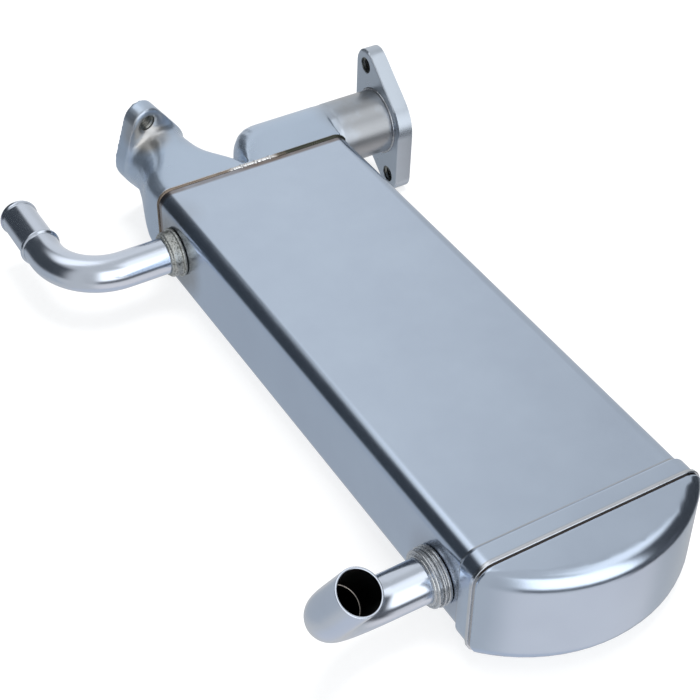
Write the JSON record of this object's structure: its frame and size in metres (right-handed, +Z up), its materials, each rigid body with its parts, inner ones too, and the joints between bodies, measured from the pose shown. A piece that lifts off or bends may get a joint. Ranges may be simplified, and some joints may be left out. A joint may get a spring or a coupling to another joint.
{
  "type": "egr cooler",
  "caption": "Exhaust-gas recirculation cooler: welded rectangular steel case with flat gas tubes inside, a return tank, a cast gas manifold with two flanges, and bent coolant pipes.",
  "frame": {"origin": "middle of the flat underside of the rectangular case", "axes": "+Y along the case, from the return tank to the gas manifold; +X to the gas outlet's side; +Z up, away from the underside"},
  "size_m": [0.2011, 0.3463, 0.0751],
  "materials": {
    "case_steel": "satin, bead blasted",
    "core_steel": "plain rolled sheet",
    "cast_steel": "fine-blasted casting",
    "machined_steel": "machined, faint heat tint",
    "pipe_steel": "polished tube",
    "boss_steel": "brazed ring with a grainy surface",
    "weld_metal": "as welded, heat tinted"
  },
  "bodies": {
    "root": {"shell": "case_steel", "near_header": "case_steel", "far_header": "core_steel", "support_plate_1": "core_steel", "support_plate_2": "core_steel", "gas_tube_01": "core_steel", "gas_tube_02": "core_steel", "gas_tube_03": "core_steel", "gas_tube_04": "core_steel", "gas_tube_05": "core_steel", "gas_tube_06": "core_steel", "gas_tube_07": "core_steel", "gas_tube_08": "core_steel", "gas_tube_09": "core_steel", "gas_tube_10": "core_steel", "fin_strip_01": "core_steel", "fin_strip_02": "core_steel", "fin_strip_03": "core_steel", "fin_strip_04": "core_steel", "fin_strip_05": "core_steel", "fin_strip_06": "core_steel", "fin_strip_07": "core_steel", "fin_strip_08": "core_steel", "fin_strip_09": "core_steel", "fin_strip_10": "core_steel", "end_cap": "case_steel", "gas_manifold": "cast_steel", "outlet_flange": "machined_steel", "coolant_pipe_far": "pipe_steel", "coolant_pipe_near": "pipe_steel", "coolant_boss_far": "boss_steel", "coolant_boss_near": "boss_steel", "seam_weld": "weld_metal"}
  },
  "joints": []
}
